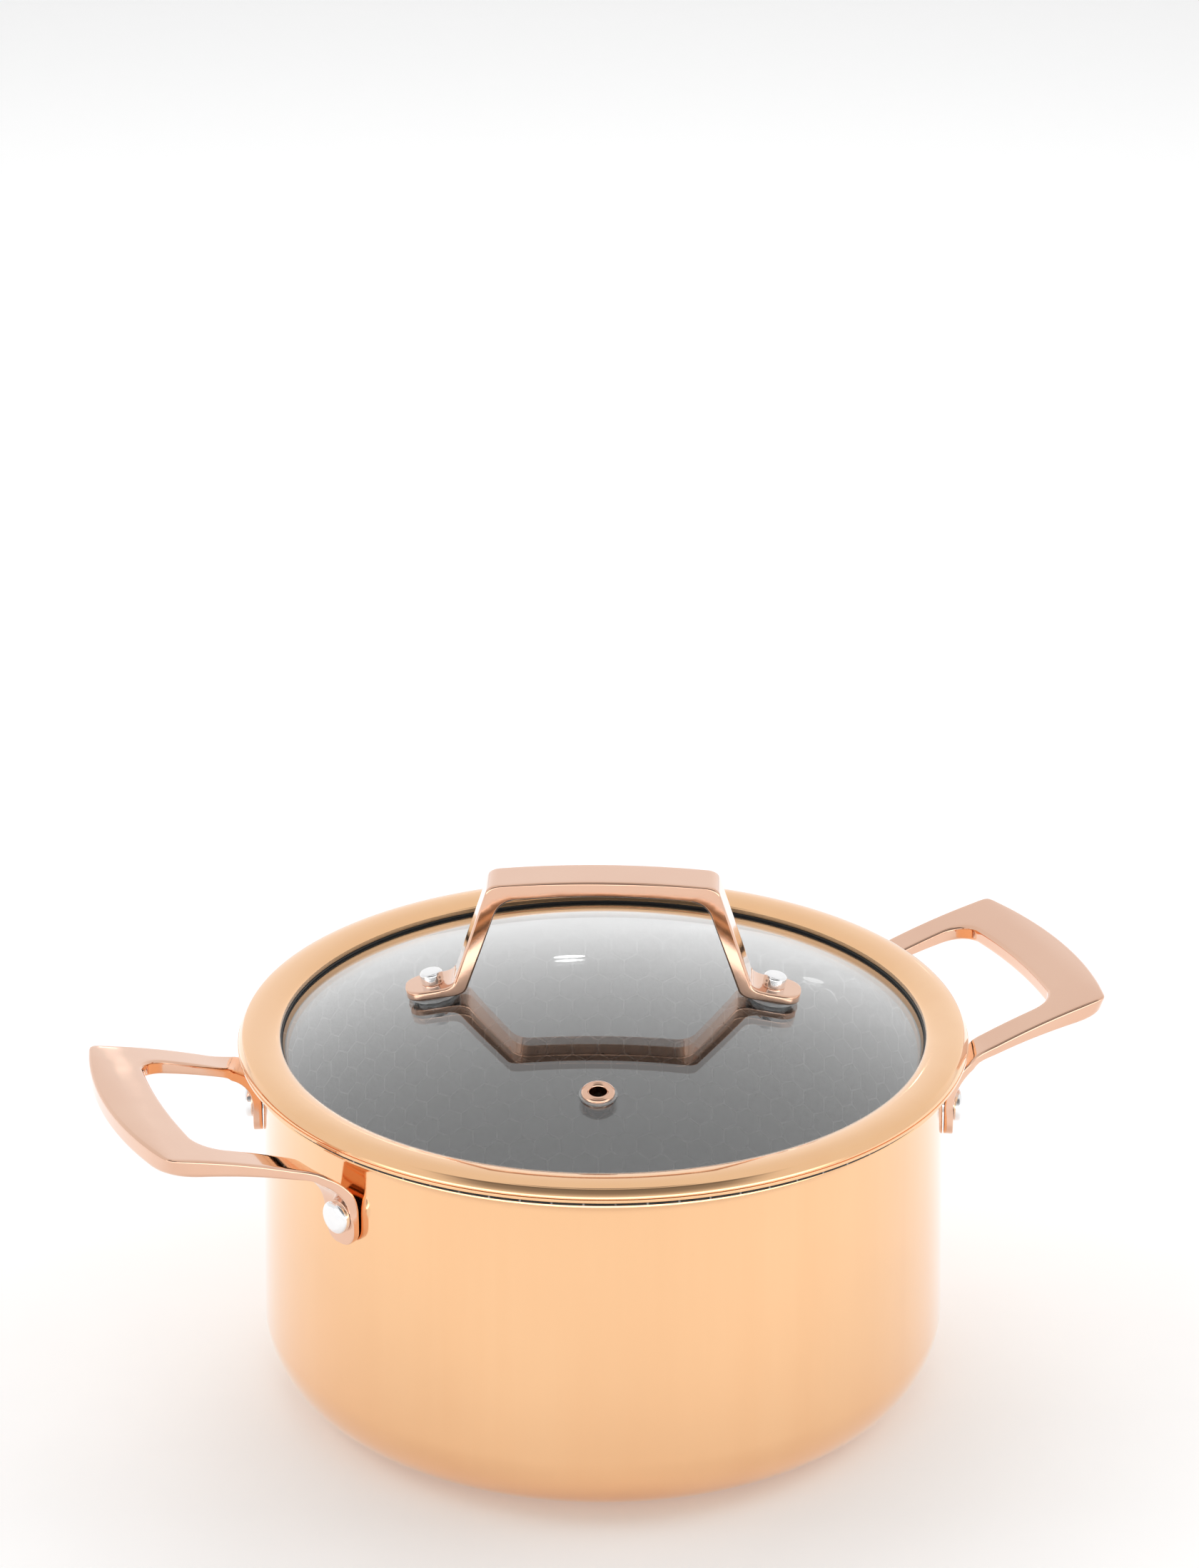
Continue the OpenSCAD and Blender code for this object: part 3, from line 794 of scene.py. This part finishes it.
def make_rim():
    """Rolled rim: broad crown, a quick turn into a bead, a seam and a hidden skirt."""
    top_r = RIM_INNER_R + (RIM_R - RIM_INNER_R) * CROWN_PEAK
    inw, out = top_r - RIM_INNER_R, RIM_R - top_r
    drop_in, drop_out = CROWN_Z - LIP_IN_Z, CROWN_Z - SHOULDER_Z

    def crown(d, a_end, n):
        inner = [
            (top_r - inw * math.cos(a), CROWN_Z - d + drop_in * (math.sin(a) - 1))
            for a in between(0.0, math.pi / 2, n)
        ]
        outer = [
            (top_r + (out - d) * math.sin(a), CROWN_Z - d + drop_out * (math.cos(a) - 1))
            for a in between(0.0, a_end, n)[1:]
        ]
        return inner + outer

    curl = LIP_IN_Z - RIM_T - SEAL_SHOW
    lip = [
        (RIM_INNER_R + 0.35, curl + 0.05),
        (RIM_INNER_R + 0.10, curl),
        (RIM_INNER_R - 0.06, curl + 0.12),
        (RIM_INNER_R - 0.10, curl + 0.4),
        (RIM_INNER_R - 0.06, LIP_IN_Z - 0.5),
    ]
    turn_a = math.asin((TURN_R - top_r) / out)
    top = crown(0.0, turn_a, 20)
    bead = [(TURN_R + step_out, TURN_Z - drop) for step_out, drop in BEAD_STEPS]
    bead_r = TURN_R + BEAD_OUT
    side = [
        (bead_r, SEAM_Z + 0.08),
        (bead_r - SEAM_IN, SEAM_Z + 0.03),
        (bead_r - SEAM_IN, SEAM_Z - 0.05),
        (RIM_R - 0.12, SEAM_Z - 0.10),
        (RIM_R - 0.02, SEAM_Z - 0.22),
        (RIM_R, SEAM_Z - 0.36),
        (RIM_R, SEAT_Z + 0.85),
        (RIM_R - 0.06, SEAT_Z + 0.70),
        (RIM_R - 0.25, SEAT_Z + 0.60),
        (RIM_R - 0.6, SEAT_Z + 0.55),
    ]
    skirt = [
        (SKIRT_R, SEAT_Z),
        (SKIRT_R, SEAT_Z - SKIRT_H),
        (SKIRT_R - RIM_T, SEAT_Z - SKIRT_H),
        (SKIRT_R - RIM_T, SEAT_Z + RIM_T),
        (RIM_R - RIM_T - 0.9, SEAT_Z + RIM_T + 0.35),
        (TURN_R + 0.1, SHOULDER_Z - 0.2),
    ]
    under = crown(RIM_T, turn_a, 10)[::-1]
    profile = lip + top[1:] + bead + side + skirt + under
    finish_mesh("lid_band", revolve(profile, 256), "lid", "copper_finish", "lid_rim")


def make_seal():
    """Black silicone channel: only its lip shows, between the rim and the glass."""
    top_z = LIP_IN_Z - RIM_T - SEAL_SHOW + 0.05
    low_z = dome_z(GLASS_R) - GLASS_T - 1.2
    in_r = RIM_INNER_R - 0.45
    glass_top = dome_z(in_r)
    upper = [(in_r + 0.05, glass_top, 0), (in_r, top_z - 0.2, 0.35), (in_r + 0.7, top_z, 0)]
    upper += [(SKIRT_R, top_z, 0), (SKIRT_R, SEAT_Z + RIM_T, 0)]
    upper += [(SKIRT_R - RIM_T, SEAT_Z + RIM_T, 0), (SKIRT_R - RIM_T, low_z, 0)]
    lower = [(in_r, low_z, 0.3), (in_r, dome_z(in_r) - GLASS_T - 0.1, 0)]
    back = [(GLASS_R + 0.06, dome_z(GLASS_R) - GLASS_T - 0.1, 0)]
    back += [(GLASS_R + 0.06, dome_z(GLASS_R) + 0.02, 0)]
    finish_mesh(
        "lid_gasket_ring",
        revolve(rounded(upper + lower + back), 192),
        "lid",
        "black_silicone",
        "lid_seal",
    )


def make_glass():
    """Domed glass with a ground edge and holes for the vent and both rivets."""
    inner_r = DOME_R - GLASS_T
    centre = DOME_TOP - DOME_R
    top = [(r, centre + math.sqrt(DOME_R**2 - r * r)) for r in between(0.0, GLASS_R - 0.5, 44)]
    low = [(r, centre + math.sqrt(inner_r**2 - r * r)) for r in between(0.0, GLASS_R - 0.5, 30)]
    edge = [(GLASS_R, top[-1][1] - 0.8), (GLASS_R, low[-1][1] + 0.8)]
    glass = finish_mesh(
        "lid_dome", revolve(top + edge + low[::-1], 224), "lid", "lid_glass", "lid_glass"
    )
    cutters = []
    for r, angle, hole in (
        (VENT_AT, -90, VENT_BORE_R),
        (LID_RIVET_AT, 0, LID_RIVET_BORE_R),
        (LID_RIVET_AT, 180, LID_RIVET_BORE_R),
    ):
        bm = bmesh.new()
        bmesh.ops.create_cone(bm, cap_ends=True, segments=48, radius1=hole, radius2=hole, depth=24)
        bmesh.ops.transform(bm, matrix=on_dome(r, angle), verts=bm.verts)
        bmesh.ops.scale(bm, vec=(MM, MM, MM), verts=bm.verts)
        mesh = bpy.data.meshes.new("cutter")
        bm.to_mesh(mesh)
        bm.free()
        cutter = bpy.data.objects.new("cutter", mesh)
        bpy.context.scene.collection.objects.link(cutter)
        cutters.append(cutter)
    glass.modifiers.clear()
    for cutter in cutters:
        cut = glass.modifiers.new("hole", "BOOLEAN")
        cut.object = cutter
        cut.operation = "DIFFERENCE"
        cut.solver = "EXACT"
    bpy.context.view_layer.update()
    graph = bpy.context.evaluated_depsgraph_get()
    glass.data = bpy.data.meshes.new_from_object(glass.evaluated_get(graph))
    glass.modifiers.clear()
    glass.data.polygons.foreach_set("use_smooth", [True] * len(glass.data.polygons))
    glass.data.set_sharp_from_angle(angle=math.radians(32))
    for cutter in cutters:
        bpy.data.objects.remove(cutter)


def make_vent():
    """Rolled copper eyelet through the glass, on a clear washer."""
    low = -GLASS_T - GLASS_GAP
    hole, flange, barrel, washer_t = 2.4, 4.9, 2.95, 0.6
    dome = [
        (
            (hole + flange) / 2 + (flange - hole) / 2 * math.cos(a),
            washer_t + 0.25 + 1.05 * math.sin(a),
        )
        for a in between(0.0, math.pi, 17)
    ]
    under = [(hole, low - 0.8), (flange - 0.6, low - 0.8), (flange - 0.4, low)]
    under += [(barrel, low), (barrel, washer_t), (flange - 0.2, washer_t)]
    place = on_dome(VENT_AT, -90)
    finish_mesh(
        "vent_eyelet_piece", revolve(under + dome, 72, place), "lid", "rose_handle", "vent_eyelet"
    )
    ring = rounded(
        [
            (barrel + 0.06, 0.0, 0),
            (flange + 0.6, 0.0, 0.15),
            (flange + 0.6, washer_t, 0.25),
            (barrel + 0.06, washer_t, 0),
        ]
    )
    finish_mesh(
        "vent_washer_piece", revolve(ring, 72, place), "lid", "clear_silicone", "vent_washer"
    )


def foot_point(s, h):
    """Point in the lid handle's plane, s along a foot from its rivet, h above the glass."""
    tilt = math.asin(LID_RIVET_AT / DOME_R)
    x = LID_RIVET_AT + s * math.cos(tilt) + h * math.sin(tilt)
    return (x, dome_z(LID_RIVET_AT) - s * math.sin(tilt) + h * math.cos(tilt))


def quad_curve(a, b, c, count):
    """Points of a quadratic curve from a to c, pulled towards b."""
    out = []
    for t in between(0.0, 1.0, count):
        x = a[0] * (1 - t) ** 2 + b[0] * 2 * t * (1 - t) + c[0] * t * t
        z = a[1] * (1 - t) ** 2 + b[1] * 2 * t * (1 - t) + c[1] * t * t
        out.append((x, z))
    return out


def part_way(a, b, share):
    """The point at a share of the way from a to b."""
    return (a[0] + (b[0] - a[0]) * share, a[1] + (b[1] - a[1]) * share)


def toward(a, b, distance):
    """The point a given distance from a on the way to b."""
    return part_way(a, b, distance / math.hypot(b[0] - a[0], b[1] - a[1]))


def lid_handle_lines():
    """Outer and inner lines of the right half, as matched points from middle to foot tip."""
    shoulder = (BAR_HALF, BAR_TOP - BAR_ARCH)
    ankle = foot_point(-FOOT_ANKLE, GASKET_T + FOOT_T)
    lean = (ankle[0] - BAR_HALF) / (shoulder[1] - ankle[1])
    lean_a = math.degrees(math.atan(lean))
    fillet_z = shoulder[1] - BAR_T + 0.4 * BAR_ARCH - BAR_FILLET_R
    fillet_x = BAR_HALF - LEG_T + lean * (shoulder[1] - fillet_z)
    fillet_x -= BAR_FILLET_R / math.cos(math.radians(lean_a))
    heel = foot_point(-FOOT_HEEL, GASKET_T)
    bar_low_z, bar_end_z = BAR_TOP - BAR_T, fillet_z + BAR_FILLET_R
    outer, inner = [], []
    for t in between(0.0, 1.0, 8):
        x = (BAR_HALF - BAR_BEND) * t
        outer.append((x, BAR_TOP - BAR_ARCH * (x / BAR_HALF) ** 2))
        inner.append((fillet_x * t, bar_low_z + (bar_end_z - bar_low_z) * t * t))
    outer += quad_curve(outer[-1], shoulder, toward(shoulder, ankle, 2.2), 8)[1:]
    inner += arc(fillet_x, fillet_z, BAR_FILLET_R, 90, lean_a, 7)[1:]
    leg_out, leg_in = outer[-1], inner[-1]
    low_out, low_in = toward(ankle, shoulder, 2.4), toward(heel, leg_in, 2.0)
    for t in between(0.0, 1.0, 6)[1:]:
        outer.append(part_way(leg_out, low_out, t))
        inner.append(part_way(leg_in, low_in, t))
    start = foot_point(-2.6, GASKET_T + FOOT_T)
    outer += quad_curve(low_out, ankle, start, 7)[1:]
    inner += quad_curve(low_in, heel, foot_point(-5.6, GASKET_T), 7)[1:]
    for s in between(-1.5, FOOT_TIP - FOOT_ROUND_R, 4):
        outer.append(foot_point(s, GASKET_T + FOOT_T))
        inner.append(foot_point(s - 0.6 if s < 0 else s, GASKET_T))
    return outer, inner


def make_lid_handle():
    """Bridge handle with rounded foot tips, skinned from one foot to the other."""
    outer, inner = lid_handle_lines()
    widths = [BAR_W / 2] * len(outer)
    for a in between(0.0, 88.0, 9)[1:]:
        s = FOOT_TIP - FOOT_ROUND_R + FOOT_ROUND_R * math.sin(math.radians(a))
        outer.append(foot_point(s, GASKET_T + FOOT_T))
        inner.append(foot_point(s, GASKET_T))
        widths.append(BAR_W / 2 - FOOT_ROUND_R * (1 - math.cos(math.radians(a))))
    half = list(zip(outer, inner, widths))
    whole = [((-o[0], o[1]), (-i[0], i[1]), w) for o, i, w in reversed(half[1:])] + half
    spin = Matrix.Rotation(math.radians(LID_TURN), 4, "Z")
    sections = []
    for o, i, w in whole:
        ys = between(-w, w, 7)
        top = [Vector((o[0], y, o[1])) for y in ys]
        low = [Vector((i[0], y, i[1])) for y in ys]
        section = band_section(top, low, LID_HANDLE_TOP_EDGE_R, LID_HANDLE_LOW_EDGE_R)
        sections.append([spin @ p for p in section])
    finish_mesh("lid_handle_piece", loft(sections), "lid", "rose_handle", "lid_handle", 50.0)


def lid_rivet(name, angle):
    """Flat-topped head on the foot, shank, and a flared tail under the washer."""
    seat = GASKET_T + FOOT_T
    tail = -GLASS_T - GLASS_GAP - GASKET_T - 1.0
    profile = rounded(
        [
            (0.0, tail - 1.2, 0),
            (LID_TAIL_R - 0.4, tail - 1.2, 0.2),
            (LID_TAIL_R, tail, 0),
            (LID_RIVET_R, tail, 0),
            (LID_RIVET_R, seat, 0),
            (LID_HEAD_R - 0.15, seat, 0.1),
            (LID_HEAD_R, seat + 0.4, 0.5),
            (LID_HEAD_R, seat + LID_HEAD_H - 0.6, 0.7),
            (LID_HEAD_R - 0.6, seat + LID_HEAD_H, 0.5),
            (0.0, seat + LID_HEAD_H, 0),
        ],
        4,
    )
    place = on_dome(LID_RIVET_AT, angle)
    finish_mesh(name + "_piece", revolve(profile, 56, place), "lid", "rivet_steel", name)


def upper_gasket(name, angle):
    """Clear disc between the glass and a foot of the lid handle."""
    bore = LID_RIVET_BORE_R + 0.01
    ring = rounded(
        [(bore, 0.0, 0), (GASKET_R, 0.0, 0.3), (GASKET_R, GASKET_T, 0.5), (bore, GASKET_T, 0)]
    )
    place = on_dome(LID_RIVET_AT, angle)
    finish_mesh(name + "_piece", revolve(ring, 72, place), "lid", "clear_silicone", name)


# ------------------------------------------------------------------ assembling

make_pot()
for side, turn in (("left", 180.0), ("right", 0.0)):
    make_side_handle("side_handle_" + side, turn)
side_rivet("side_rivet_left_front", 180 + TAB_ANGLE)
side_rivet("side_rivet_left_rear", 180 - TAB_ANGLE)
side_rivet("side_rivet_right_front", -TAB_ANGLE)
side_rivet("side_rivet_right_rear", TAB_ANGLE)
make_rim()
make_seal()
make_glass()
make_vent()
make_lid_handle()
for side, angle in (("left", 180), ("right", 0)):
    lid_rivet("lid_rivet_" + side, angle)
    upper_gasket("upper_gasket_" + side, angle)

SLOT_OF = {row["node"]: row["material_slot"] for row in frame["record"]["subparts"]}
for name, node in frame["nodes"].items():
    node.data.materials.clear()
    node.data.materials.append(MATERIALS[SLOT_OF[name]])


# ----------------------------------------------------------------------- stage

VIEW_TURN = -21.68
VIEW_PITCH = 22.35
AIM_TURN = VIEW_TURN + 0.05
CAMERA_BACK = 1.2445
CAMERA_UP = 0.7012
LENS_MM = 105.85
WALL_LEVEL = 0.86
BACK_GAIN = 0.15
TOP_GAIN = -0.55
BAND_GAIN = 1.9
DARK_DROP = 0.66


def make_camera():
    """Camera in front of the pot, turned and pitched as the product shot has it."""
    data = bpy.data.cameras.new("camera")
    data.lens = LENS_MM
    data.sensor_width = 36.0
    data.clip_start = 0.05
    data.clip_end = 50.0
    cam = bpy.data.objects.new("camera", data)
    bpy.context.scene.collection.objects.link(cam)
    turn = Matrix.Rotation(math.radians(VIEW_TURN), 4, "Z")
    cam.location = turn @ Vector((0, -CAMERA_BACK, CAMERA_UP))
    cam.rotation_euler = (math.radians(90 - VIEW_PITCH), 0.0, math.radians(AIM_TURN))
    bpy.context.scene.camera = cam


def make_world():
    """A pale tent: even walls, a paler back, and dark towards the camera and overhead."""
    world = bpy.data.worlds.new("studio")
    world.use_nodes = True
    graph = Graph(world.node_tree)
    direction = graph.node("ShaderNodeTexCoord").outputs["Generated"]
    split = graph.node("ShaderNodeSeparateXYZ")
    graph.put(split.inputs[0], direction)
    height = split.outputs[2]
    front = math.radians(VIEW_TURN - 90)
    facing = graph.vector(
        "DOT_PRODUCT", direction, (math.cos(front), math.sin(front), 0.0), output=1
    )
    side = graph.vector(
        "DOT_PRODUCT", direction, (-math.sin(front), math.cos(front), 0.0), output=1
    )
    spread = graph.math("MULTIPLY", side, side)
    ahead = graph.math(
        "MULTIPLY", graph.span(facing, 0.18, 0.5), graph.span(spread, 0.25, 0.6, 1.0, 0.0)
    )
    middle = graph.math(
        "MULTIPLY", graph.span(height, 0.14, 0.66), graph.span(height, 0.84, 0.96, 1.0, 0.0)
    )
    band = graph.math(
        "MULTIPLY", graph.span(height, 0.22, 0.12), graph.span(facing, 0.2, 0.55)
    )
    dark = graph.math("MULTIPLY", ahead, middle)
    top = graph.span(height, 0.96, 0.985)
    behind = graph.math(
        "MULTIPLY", graph.span(facing, -0.3, -0.85), graph.span(height, 0.75, 0.1, 0.0, 1.0)
    )
    level = graph.math("ADD", WALL_LEVEL, graph.math("MULTIPLY", behind, BACK_GAIN))
    level = graph.math("ADD", level, graph.math("MULTIPLY", top, TOP_GAIN))
    level = graph.math("ADD", level, graph.math("MULTIPLY", band, BAND_GAIN))
    level = graph.math("SUBTRACT", level, graph.math("MULTIPLY", dark, DARK_DROP))
    background = world.node_tree.nodes["Background"]
    background.inputs["Color"].default_value = rgba(1.0, 1.0, 1.0)
    graph.put(background.inputs["Strength"], level)
    bpy.context.scene.world = world
    bpy.context.scene.view_settings.view_transform = "Standard"


def make_floor():
    """Pale seamless floor with a faint paper grain."""
    bm = bmesh.new()
    bmesh.ops.create_grid(bm, x_segments=24, y_segments=24, size=4.0)
    mesh = bpy.data.meshes.new("floor")
    bm.to_mesh(mesh)
    bm.free()
    floor = bpy.data.objects.new("floor", mesh)
    bpy.context.scene.collection.objects.link(floor)
    floor.location.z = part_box("pot_outer_skin")[0].z
    material, graph, shader, place = new_material("floor_paper")
    grain = graph.noise(place, 60.0, 3.0)
    paper = graph.mix(grain, rgba(0.83, 0.83, 0.83), rgba(0.85, 0.85, 0.85))
    graph.put(shader.inputs["Base Color"], paper)
    shader.inputs["Roughness"].default_value = 0.9
    shader.inputs["Specular IOR Level"].default_value = 0.1
    shader.inputs["Emission Color"].default_value = rgba(1.0, 1.0, 1.0)
    shader.inputs["Emission Strength"].default_value = 0.18
    mesh.materials.append(material)


def softbox(name, azimuth, elevation, distance, size, power, seen=False):
    """An area light that faces the pot; azimuth is counted from the camera's own."""
    data = bpy.data.lights.new(name, "AREA")
    data.shape = "ELLIPSE" if seen else "RECTANGLE"
    data.size, data.size_y = size
    data.energy = power
    lamp = bpy.data.objects.new(name, data)
    bpy.context.scene.collection.objects.link(lamp)
    turn = math.radians(VIEW_TURN - 90 + azimuth)
    rise = math.radians(elevation)
    away = Vector(
        (math.cos(turn) * math.cos(rise), math.sin(turn) * math.cos(rise), math.sin(rise))
    )
    lamp.location = away * distance + Vector((0, 0, 0.06))
    lamp.rotation_euler = away.to_track_quat("Z", "Y").to_euler()
    lamp.visible_glossy = seen
    lamp.visible_transmission = seen


make_camera()
make_world()
make_floor()
# Azimuth and elevation in degrees; distance and size in metres; power in watts
softbox("back_box", 180, 52, 1.6, (1.4, 1.0), 7.0)
softbox("left_box", -95, 40, 1.6, (0.8, 0.8), 3.5)
softbox("right_box", 95, 40, 1.6, (0.8, 0.8), 4.0)
softbox("glint", -177.8, 17.8, 2.2, (0.075, 0.036), 0.022, True)
softbox("faint_glint", 166.7, 15.2, 2.2, (0.05, 0.06), 0.004, True)
